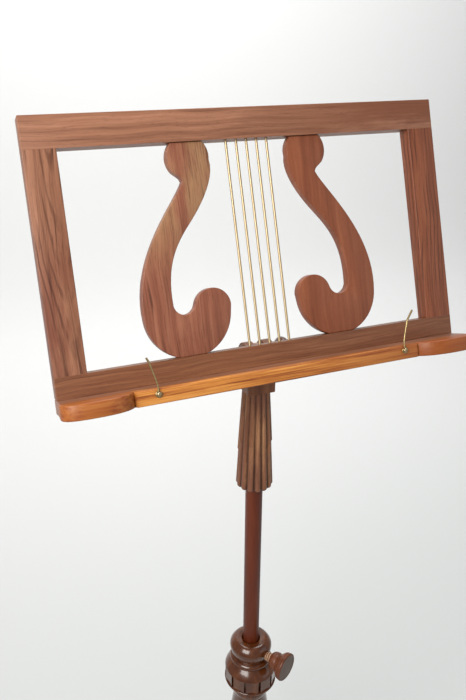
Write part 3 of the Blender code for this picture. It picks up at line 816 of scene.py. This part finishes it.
HOLDERS = {
    "left": (-152, [(0, 9), (-1.4, 16), (-5, 30), (-6.4, 35), (-8.8, 40)]),
    "right": (157, [(0, 9), (1.4, 16), (6.4, 32), (9, 37.5), (15.6, 46.5)]),
}
WIRE = 1.0 * MM
HOLDER_UP = -6
wire_out = 33.3 * MM
for name, (u, lean) in HOLDERS.items():
    side = math.copysign(1, u)
    eye = arc((0, 0), 2.9, 90 + side * 50, 90 + side * 360, 17)
    path = [(x * MM, y * MM, wire_out) for x, y in flowing(eye + lean, 4)]
    tip = len(path) - 9
    wire = bent_wire(path, WIRE, [1.0 if i < tip else 1.2 for i in range(len(path))])
    smooth(wire, 50)
    settle(wire, DESK @ moved(u, HOLDER_UP, 0))
    finish_piece(wire, f"{name}_page_wire", old_brass, "brass", f"page_holder_{name}")

# %% [markdown]
# ## Slotted screws
#
# The stand is held by old-fashioned slotted brass screws: a round head, slightly domed, with a slot. We turn
# one head, cut its slot with a thin block, and copy it. The shank below the head is inside the wood.


# %% Turning a screw
def slotted_screw(head, shank, long, dome):
    """A screw about Z, its head's top at the origin: radii and lengths in mm."""
    top = [(0, 0), (head * 0.55, -dome * 0.25), (head * 0.9, -dome * 0.8), (head, -dome - 0.2)]
    obj = turn_piece([*top, (head, -dome - 0.7), (shank, -dome - 1.5), (shank, -long), (0, -long - 1)], 28)
    combine(obj, block((-head * 1.2, -0.4, -0.9), (head * 1.2, 0.4, 0.9)), "DIFFERENCE")
    smooth(obj)
    return obj


def place_screws(screw, moves):
    """A copy of the screw at each place; moves gives a CAD node's name and its place."""
    for name, place in moves.items():
        finish_piece(copied(screw, place), f"{name}_slotted", brass, "brass", name)
    bpy.data.objects.remove(screw)


def on_desk_at(u, v, w, facing=0, turn=0):
    """A place on the desk in mm, with how far a screw there faces round X and how far its slot is turned."""
    return DESK @ moved(u, v, w) @ turned(facing, "X") @ turned(turn, "Z")


BELOW, BEHIND = 90, 180  # the ways a head can face: down from the ledge, out of the desk's back
holder_places = {
    f"holder_screw_{name}": on_desk_at(u, HOLDER_UP, 36.2, turn=math.degrees(0.6))
    for name, (u, lean) in HOLDERS.items()
}
place_screws(slotted_screw(2.3, 1.2, 15.5, 0.9), holder_places)
ledge_places = {
    f"ledge_screw_{i + 1}": on_desk_at(u, -16.8, -9, BELOW, turn=math.degrees(i))
    for i, u in enumerate((-200, -70, 70, 200))
}
place_screws(slotted_screw(4.0, 2.0, 29, 0.5), ledge_places)
bracket_places = {
    f"bracket_screw_{i + 1}": on_desk_at(u, v, -28.1, BEHIND, turn=math.degrees(i * 0.8))
    for i, (u, v) in enumerate(((-18, 6), (20.5, 6), (-18, 16), (20.5, 16)))
}
place_screws(slotted_screw(3.4, 1.7, 21, 0.6), bracket_places)

# %% [markdown]
# ## The tilt bracket
#
# Behind the desk a plate carries a tongue, and the tongue turns between the cheeks of a yoke on top of the
# neck. The yoke is one block: its upper end is a half round about the bolt, and a saw cut makes the slot. We
# draw its side view as a board, give it its width, and cut the slot with a block.


# %% Plate, tongue and yoke
def ease_all(obj, width, corner=50):
    """Rounds every edge where the faces turn by more than the corner angle."""
    pick(obj)
    select_edges(obj, lambda start, end, turn: turn > corner)
    bevel_selected(obj, width)


plate = block((-30, -15, -26.3), (30, 22, -18.3))
ease_all(plate, 1.5 * MM)
finish_piece(settle(plate, DESK), "tongue_plate_board", stem_wood, "desk_wood", "tongue_plate")

# A board's X and Y become the stand's Y and Z.
SIDE_VIEW = Matrix(((0, 0, 1, 0), (1, 0, 0, 0), (0, 1, 0, 0), (0, 0, 0, 1)))
tongue_line = [(11 * MM, 21.1 * MM), (-21.8 * MM, 21.1 * MM), *arc((0, 0), 14 * MM, 180, 360, 24)]
tongue = cut_board(tongue_line, 12.4 * MM, 0.8 * MM)
settle(tongue, DESK @ moved(0, 8.8, -47.7) @ SIDE_VIEW)
finish_piece(tongue, "desk_tongue_board", stem_wood, "desk_wood", "desk_tongue")

yoke_line = [(-17 * MM, -47.5 * MM), (17 * MM, -47.5 * MM), *arc((0, 0), 17 * MM, 0, 180, 32)]
yoke = settle(cut_board(yoke_line, 37 * MM, 1.2 * MM), SIDE_VIEW)
combine(yoke, block((-6.5, -34, -22), (6.5, 34, 34)), "DIFFERENCE")
smooth(yoke)
finish_piece(settle(yoke, PIVOT), "yoke_block", yoke_wood, "stem_wood", "yoke")

# %% [markdown]
# ## The tilt knob
#
# A small turned knob tightens the yoke on its bolt. It is turned from the same wood as the post, with a cove
# behind its rim for the fingers.

# %% Turning the tilt knob
HALF_YOKE, GAP, WASHER = 18.5, 0.3, 1.2
knob_start = HALF_YOKE + GAP + WASHER + GAP
knob_line = flowing([(0, 21), (9, 21), (14.5, 19.5), (17, 15.5), (17, 12.5), (14.5, 9), (10.5, 5.5),
                     (9.5, 3.5), (10.5, 1), (9.5, 0)])
knob_line = [(max(r, 0), knob_start + min(z, 21)) for r, z in knob_line]
knob_line += [(3.3, knob_start), (3.3, knob_start + 16), (0, knob_start + 16)]
tilt_knob = turn_piece(knob_line, 72, 40)
finish_piece(settle(tilt_knob, KNOB), "tilt_knob_turned", turned_wood, "turned_wood", "tilt_knob")

# %% [markdown]
# ## The reeded neck
#
# Under the yoke the neck flares like a fluted skirt. Fourteen long reeds stand side by side round it, and
# each ends in a rounded tip at the foot. On each long reed lies a short one, and these end part of the way
# down, by turns at one height and a little higher. One reed is a sphere whose upper half is pulled up and
# made narrower. It is leaned against the neck's core and copied round. A fine remesh then melts core and
# reeds into one skin, a little softened, as sanding does.

# %% Carving the reeds
NECK_TOP = PIVOT_Z - 47.8
NECK_FOOT = 841
REEDS = 14
FIRST_REED = 257.3  # degrees, so that a groove faces the player's left


def reed(foot, radius_foot, radius_top, out_foot, out_top):
    """One reed at angle 0, from its foot's height up through the neck's top; sizes in mm."""
    high = NECK_TOP + 6
    select_none()
    bpy.ops.mesh.primitive_uv_sphere_add(segments=18, ring_count=12, radius=radius_foot * MM)
    obj = bpy.context.active_object
    for vertex in obj.data.vertices:
        vertex.select = vertex.co.z > -0.01 * MM
    for item in (*obj.data.edges, *obj.data.polygons):
        item.select = False
    bpy.context.tool_settings.mesh_select_mode = (True, False, False)
    bpy.ops.object.mode_set(mode="EDIT")
    length = (high - foot - radius_foot) * MM
    narrow = radius_top / radius_foot
    bpy.ops.transform.resize(value=(narrow, narrow, 1), center_override=(0, 0, 0))
    bpy.ops.transform.translate(value=(0, 0, length))
    bpy.ops.object.mode_set(mode="OBJECT")
    lean = -math.degrees(math.atan2((out_foot - out_top) * MM, length))
    return settle(obj, POST @ moved(out_foot, 0, foot + radius_foot) @ turned(lean, "Y"))


def ring_of(obj, count, first):
    """Copies of a piece round the post, evenly from an angle in degrees, joined into one mesh."""
    found = [copied(obj, round_about(first + 360 * i / count)) for i in range(count)]
    bpy.data.objects.remove(obj)
    select_none()
    for each in found:
        each.select_set(True)
    bpy.context.view_layer.objects.active = found[0]
    bpy.ops.object.join()
    return bpy.context.active_object


select_none()
core_low, core_high = 845, NECK_TOP + 4
bpy.ops.mesh.primitive_cone_add(
    vertices=56,
    radius1=20.5 * MM,
    radius2=13.9 * MM,
    depth=(core_high - core_low) * MM,
)
neck = settle(bpy.context.active_object, POST @ moved(0, 0, (core_low + core_high) / 2))
NEXT_REED = FIRST_REED + 360 / REEDS
reeds = [
    ring_of(reed(NECK_FOOT, 4.9, 3.3, 19.6, 13.6), REEDS, FIRST_REED),
    ring_of(reed(893, 2.7, 2.2, 20.1, 15.1), REEDS // 2, FIRST_REED),
    ring_of(reed(907, 2.7, 2.2, 19.4, 15.1), REEDS // 2, NEXT_REED),
]
pick(neck)
for ring in reeds:
    ring.select_set(True)
bpy.ops.object.join()
modify(neck, "REMESH", mode="VOXEL", voxel_size=0.6 * MM)
modify(neck, "SMOOTH", factor=0.5, iterations=1)
combine(neck, block((-40, -40, NECK_TOP), (40, 40, NECK_TOP + 40), POST), "DIFFERENCE")
SOCKET_RADIUS, SOCKET_LONG, SOCKET_MIDDLE = 11.7, 70, 865.3
socket = cylinder(48, SOCKET_RADIUS, SOCKET_LONG, POST @ moved(0, 0, SOCKET_MIDDLE))
combine(neck, socket, "DIFFERENCE")
smooth(neck, 50)
EVERYWHERE = ("X", -900, -800)  # bounds off the stand, so that a patch comes in all over it
neck_wood = rosewood(
    "oiled rosewood, reeded neck", UPRIGHT, TAN, (0.1, 0.5, 0.9), streaks=0.6, width=6,
    patch=("#6E4533", *EVERYWHERE),
)
LEAN = 7.2 / 140  # the reeds lean in by 7.2 mm over the neck's 140 mm
GROOVE_SHADE_FULL, GROOVE_SHADE_END = 21.6, 24.1  # radii at the foot: where the dark is full, and where it ends
# Painted shade: the grooves between the reeds are darkened toward the neck's core, where shade falls.
at_foot = NECK_FOOT * LEAN
paint_groove_shade(neck_wood, POST, LEAN, at_foot + GROOVE_SHADE_FULL, at_foot + GROOVE_SHADE_END, "#24130B")
finish_piece(neck, "reeded_neck", neck_wood, "stem_wood", "neck")

# %% [markdown]
# ## The rod
#
# The rod is one straight turned dowel, 23 mm thick and more than half a metre long. Only its middle shows:
# its top is glued into the neck and its foot, with the leather guide ring, slides inside the post.

# %% Turning the rod
rod_line = [(0, 900), (10.7, 900), (11.5, 899.2), (11.5, 344), (6, 344), (6, 337.7)]
rod_line += [(1.9, 337.7), (1.9, 362), (0, 362)]
rod = turn_piece(rod_line, 64, 40)
finish_piece(settle(rod, POST), "rod_turned", rod_wood, "stem_wood", "rod")

# %% [markdown]
# ## The post's head
#
# The head is turned in one piece: a round cap with a dished top, a small bead, and a wide belt. The carver
# then planed eleven flat panels on the belt and sawed a short upright slot between each pair. A lathe line
# makes the turned form. The flats are cut by a ring whose inside has eleven sides, and the slots by a ring of
# thin blocks.

# %% Turning and carving the head
HEAD_TOP = 575
PANELS = 11
FIRST_SLOT = 201.6  # degrees round the post
head_parts = [
    flowing([(12.6, 2.4), (13.4, 1.5), (15, 1.2), (18, 1.0), (20.5, 1.1), (22.4, 1.6), (24.6, 2.9), (27, 5.2),
             (29.6, 9), (30.5, 13), (30, 18), (28.5, 23.2), (26.8, 27.6)], 3),
    flowing([(25.4, 28.6), (25.6, 29.6), (27.8, 30.6), (29.8, 32.4), (30.4, 34.6), (29.7, 37),
             (28.1, 38.5)], 3),
    flowing([(28.7, 39.4), (30.6, 41.6), (33.4, 45), (36.4, 49.4), (37.6, 52.4), (37.9, 55)], 3),
    flowing([(37.9, 73.9), (37.2, 74.5), (37.9, 75.3), (38.1, 76.3), (37.5, 77.6), (36, 78.4)], 3),
    flowing([(34.6, 79.2), (31.6, 82), (28, 84.8), (25.2, 86.6), (24.5, 88)], 3),
    [(19.3, 88), (19.3, 66), (12.6, 66), (12.6, 2.4)],
]
head = turn_piece([(r, HEAD_TOP - drop) for part in head_parts for r, drop in part], 132)
settle(head, POST)

belt_middle = POST @ moved(0, 0, HEAD_TOP - 63.2)
flat_radius = 36.6 / math.cos(math.pi / PANELS)
planing = cylinder(64, 60, 21, belt_middle)
# A cylinder's first corner is on +Y, so this turns a corner to the first slot.
inside = cylinder(PANELS, flat_radius, 40, belt_middle @ turned(FIRST_SLOT - 90, "Z"))
combine(planing, inside, "DIFFERENCE")
combine(head, planing, "DIFFERENCE")
slot = block((31.5, -1.9, HEAD_TOP - 74), (45, 1.9, HEAD_TOP - 52.6), POST)
combine(head, ring_of(slot, PANELS, FIRST_SLOT), "DIFFERENCE")
combine(head, cylinder(32, 7.2, 36, CLAMP @ moved(0, 0, 27)), "DIFFERENCE")
smooth(head, 24)
finish_piece(head, "post_head_turned", turned_wood, "turned_wood", "post_head")

# %% [markdown]
# ## The clamp screw
#
# A wooden screw through the head holds the rod. Its knob is turned, with a barrel, a cove and a flat-faced
# disc. Its shank carries a coarse thread. A thread is a small ridge wound up a helix: we draw the ridge's
# section, wind it with the Screw modifier, close its ends and join it to the shank.

# %% Turning the knob and cutting its thread
screw_line = flowing([(17.6, 64.5), (19.3, 63.9), (20.1, 62.7), (20.2, 61.4), (19.8, 60.4)], 3)
screw_line += flowing([(19.3, 60), (19.7, 59.4), (19.4, 57.6), (18.2, 55.6), (15.4, 53), (13, 50.8),
                       (12.4, 49.4)], 3)
screw_line += flowing([(12.7, 48.8), (13, 47), (12.8, 44.4), (11.9, 41), (9.6, 38.5), (7, 37.8)], 3)
screw_line = [(0, 64.3), (14, 64.3), (16.6, 64.1), *screw_line, (5, 37.7), (5, 17.3), (4, 15.7), (0, 15.7)]
clamp_screw = turn_piece(screw_line, 72, 40)

PITCH = 3.2 * MM  # the clamp moves this far in one turn
TURNS = 6
THREAD_START = 18.4
section = [(4.8, -1.3), (6.7, -0.3), (6.7, 0.3), (4.8, 1.3)]
thread = draw_line([(r * MM, 0, z * MM) for r, z in section])
bpy.ops.mesh.edge_face_add()
bpy.ops.mesh.delete(type="ONLY_FACE")
bpy.ops.object.mode_set(mode="OBJECT")
modify(
    thread, "SCREW", screw_offset=PITCH, iterations=TURNS, steps=32, render_steps=32,
    use_merge_vertices=False,
)
merge_points(thread)
select_open_edges(thread)
bpy.ops.mesh.fill()
face_outward()
settle(thread, moved(0, 0, THREAD_START))
print("The thread has", len(thread.data.polygons), "faces, over", tuple(thread.dimensions))
pick(clamp_screw)
thread.select_set(True)
bpy.ops.object.join()
smooth(clamp_screw, 35)
finish_piece(settle(clamp_screw, CLAMP), "clamp_screw_turned", knob_wood, "turned_wood", "clamp_screw")
# The thread is bare wood, cut after the finish, and the knob's flat face is rubbed dull.
clamp_screw.data.materials.append(raw_wood)
clamp_screw.data.materials.append(worn_face)
SHANK_END, FACE_START = 37.75 * MM, 64.15 * MM
axis, start = CLAMP.to_3x3() @ Vector((0, 0, 1)), CLAMP.translation
for face in clamp_screw.data.polygons:
    along = (face.center - start).dot(axis)
    if along < SHANK_END:
        face.material_index = 1
    elif along > FACE_START:
        face.material_index = 2

# %% [markdown]
# ## The column and its drop
#
# The column swells like a vase below the head, then narrows to a ring and a plain drum where the legs are let
# in. A turned drop closes its foot. Both are spun from smooth lines, with crisp steps left where the turner
# cut a fillet.

# %% Turning the column and the drop
COLUMN_TOP = 487
BORE_DEPTH = 389 * MM
column_parts = [
    [(12.6, -21), (19, -21), (19, 0)],
    flowing([(24.3, 0.3), (26.0, 4), (26.4, 8), (25.4, 13), (24, 16)], 3),
    flowing([(24.4, 18), (24.6, 22), (26.5, 36), (30, 60), (33, 84), (33.6, 104), (31, 135), (27.2, 165),
             (25, 184)], 4),
    flowing([(25.4, 192), (30.5, 195), (32.4, 199), (31, 203), (28.5, 207)], 4),
    [(28.8, 209), (35.4, 214.6), (36, 216)],
    [(36, 335), (35.2, 337.5), (33, 341)],
    flowing([(33, 345), (30, 355), (23, 368), (16, 377), (14, 384.7)], 4),
    [(4.3, 384.7), (4.3, 374.7), (0, 374.7)],
]
column = turn_piece([(r, COLUMN_TOP - drop) for part in column_parts for r, drop in part], 96)
# The line leaves the bore open at its top, so its rim is extruded down to the bore's bottom and closed there.
select_open_edges(column)
extrude((0, 0, -BORE_DEPTH))
bpy.ops.mesh.edge_face_add()
face_outward()
smooth(column, 28)
finish_piece(settle(column, POST), "column_turned", turned_wood, "turned_wood", "column")

drop_line = [(0, 111.2), (4, 111.2), (4, 101.7), (13, 101.7)]
drop_line += flowing([(14.2, 100.8), (14.5, 98.7), (12, 95.7), (8, 92.7), (8.4, 90.4), (10.6, 87.4),
                      (11.5, 84.2), (10, 78.7), (5, 73.4), (0, 72.2)], 4)
finial = turn_piece([(max(r, 0), z) for r, z in drop_line], 64)
finish_piece(settle(finial, POST), "finial_turned", turned_wood, "turned_wood", "finial")

# %% [markdown]
# ## The legs
#
# A cabriole leg is sawn from a board and then rounded with a rasp and a scraper until no flat edge is left.
# We copy the CAD leg, merge its loose triangles, remesh it into small even squares, and smooth it the way the
# scraper does. The other two legs are the first one, carried round the post.

# %% Rounding the legs
leg = bpy.data.objects.new("leg", frame["nodes"]["leg_front"].data.copy())
bpy.context.collection.objects.link(leg)
merge_points(leg)
modify(leg, "REMESH", mode="VOXEL", voxel_size=1.5 * MM, use_smooth_shade=True)
modify(leg, "SMOOTH", factor=0.5, iterations=14)
LEGS = {"front": 0, "right": 120, "left": 240}
for name, turn in LEGS.items():
    made = copied(leg, round_about(turn))
    finish_piece(made, f"leg_{name}_shaped", leg_wood, "turned_wood", f"leg_{name}")
bpy.data.objects.remove(leg)

# %% [markdown]
# ## The pieces that stay as the CAD model has them
#
# Dowels, pads, the bolt and its washer are plain round pieces that CAD already shows well. They only need a
# finish.

# %% Finishes for the CAD pieces
kept = [
    (brass, "brass", ["tilt_bolt", "tilt_washer", "rod_end_screw"]),
    (leather, "leather", ["clamp_pad", "rod_guide_ring"]),
    (felt, "felt", [f"foot_pad_{name}" for name in LEGS]),
    (leg_wood, "turned_wood", [f"leg_dowel_{name}" for name in LEGS]),
]
for material, slot_name, names in kept:
    for name in names:
        node = frame["nodes"][name]
        node.data.materials.clear()
        node.data.materials.append(material)

# %% [markdown]
# ## Floor, light and camera
#
# A pale sweep of paper runs from the floor up behind the stand, so no horizon shows. The paper is painted a
# little greyer in front, as painted shade, so the floor near the stand looks less lit. A soft light like a
# window stands on the left and a weaker one on the right, a third shines on the paper, and the pale world
# fills the shadows. The camera looks down on the desk from the left, close to it, with a mild wide angle.

# %% The pale sweep
SWEEP_LEFT, SWEEP_WIDE = -5, 13
rise = bezier((1.4, 0), (2.6, 0), (2.6, 0), (2.6, 1.2), 14)
sweep = draw_line([(SWEEP_LEFT, y, z) for y, z in [(-4, 0), (1.4, 0), *rise, (2.6, 5)]])
extrude((SWEEP_WIDE, 0, 0))
bpy.ops.object.mode_set(mode="OBJECT")
smooth(sweep)
sweep.name = "paper_sweep"
paper, tree, shader = new_material("matt white paper", Roughness=0.9)
place = add_node(tree, "ShaderNodeTexCoord").outputs["Object"]
# Painted shade: the paper's colour runs from grey in front to near white 2.3 m further back.
painted_paper_shade = mixed(tree, ranged(tree, part_of(tree, place, "Y"), 0.0, 2.3), linear("#BCBEBD"), linear("#E3E3E2"))
tree.links.new(painted_paper_shade, shader.inputs["Base Color"])
sweep.data.materials.append(paper)


# %% Soft lights
def soft_light(name, place, target, size, power, colour="#FFFFFF"):
    bpy.ops.object.light_add(type="AREA", location=place)
    light = bpy.context.active_object
    light.name = name
    light.data.size = size
    light.data.energy = power
    light.data.color = linear(colour)[:3]
    light.rotation_euler = (Vector(target) - Vector(place)).to_track_quat("-Z", "Y").to_euler()


DESK_MIDDLE = (0, 0.05, 1.1)
soft_light("window on the left", (-1.15, -0.8, 1.8), DESK_MIDDLE, 1.0, 36, "#FFFDF8")
soft_light("fill on the right", (1.8, -1.6, 1.5), DESK_MIDDLE, 1.6, 6)
soft_light("light on the paper", (0.6, 0.9, 3.2), (1.0, 2.4, 0.5), 2.0, 75)
world = bpy.data.worlds.new("pale room")
world.use_nodes = True
world.node_tree.nodes["Background"].inputs["Color"].default_value = linear("#F2F4F6")
world.node_tree.nodes["Background"].inputs["Strength"].default_value = 0.46
bpy.context.scene.world = world
bpy.context.scene.view_settings.view_transform = "Standard"

# %% The camera
bpy.ops.object.camera_add()
camera = bpy.context.active_object
look = turned(-20.625, "Z") @ turned(-21.963, "X") @ turned(0.641, "Y")
camera.matrix_world = moved(-341.5, -655.4, 1373.7) @ look @ turned(90, "X")
camera.data.sensor_fit = "VERTICAL"
camera.data.sensor_width = camera.data.sensor_height = 36
camera.data.lens = 35.86
camera.data.shift_x, camera.data.shift_y = 0.04553, -0.02241
camera.data.clip_start = 0.02
bpy.context.scene.camera = camera
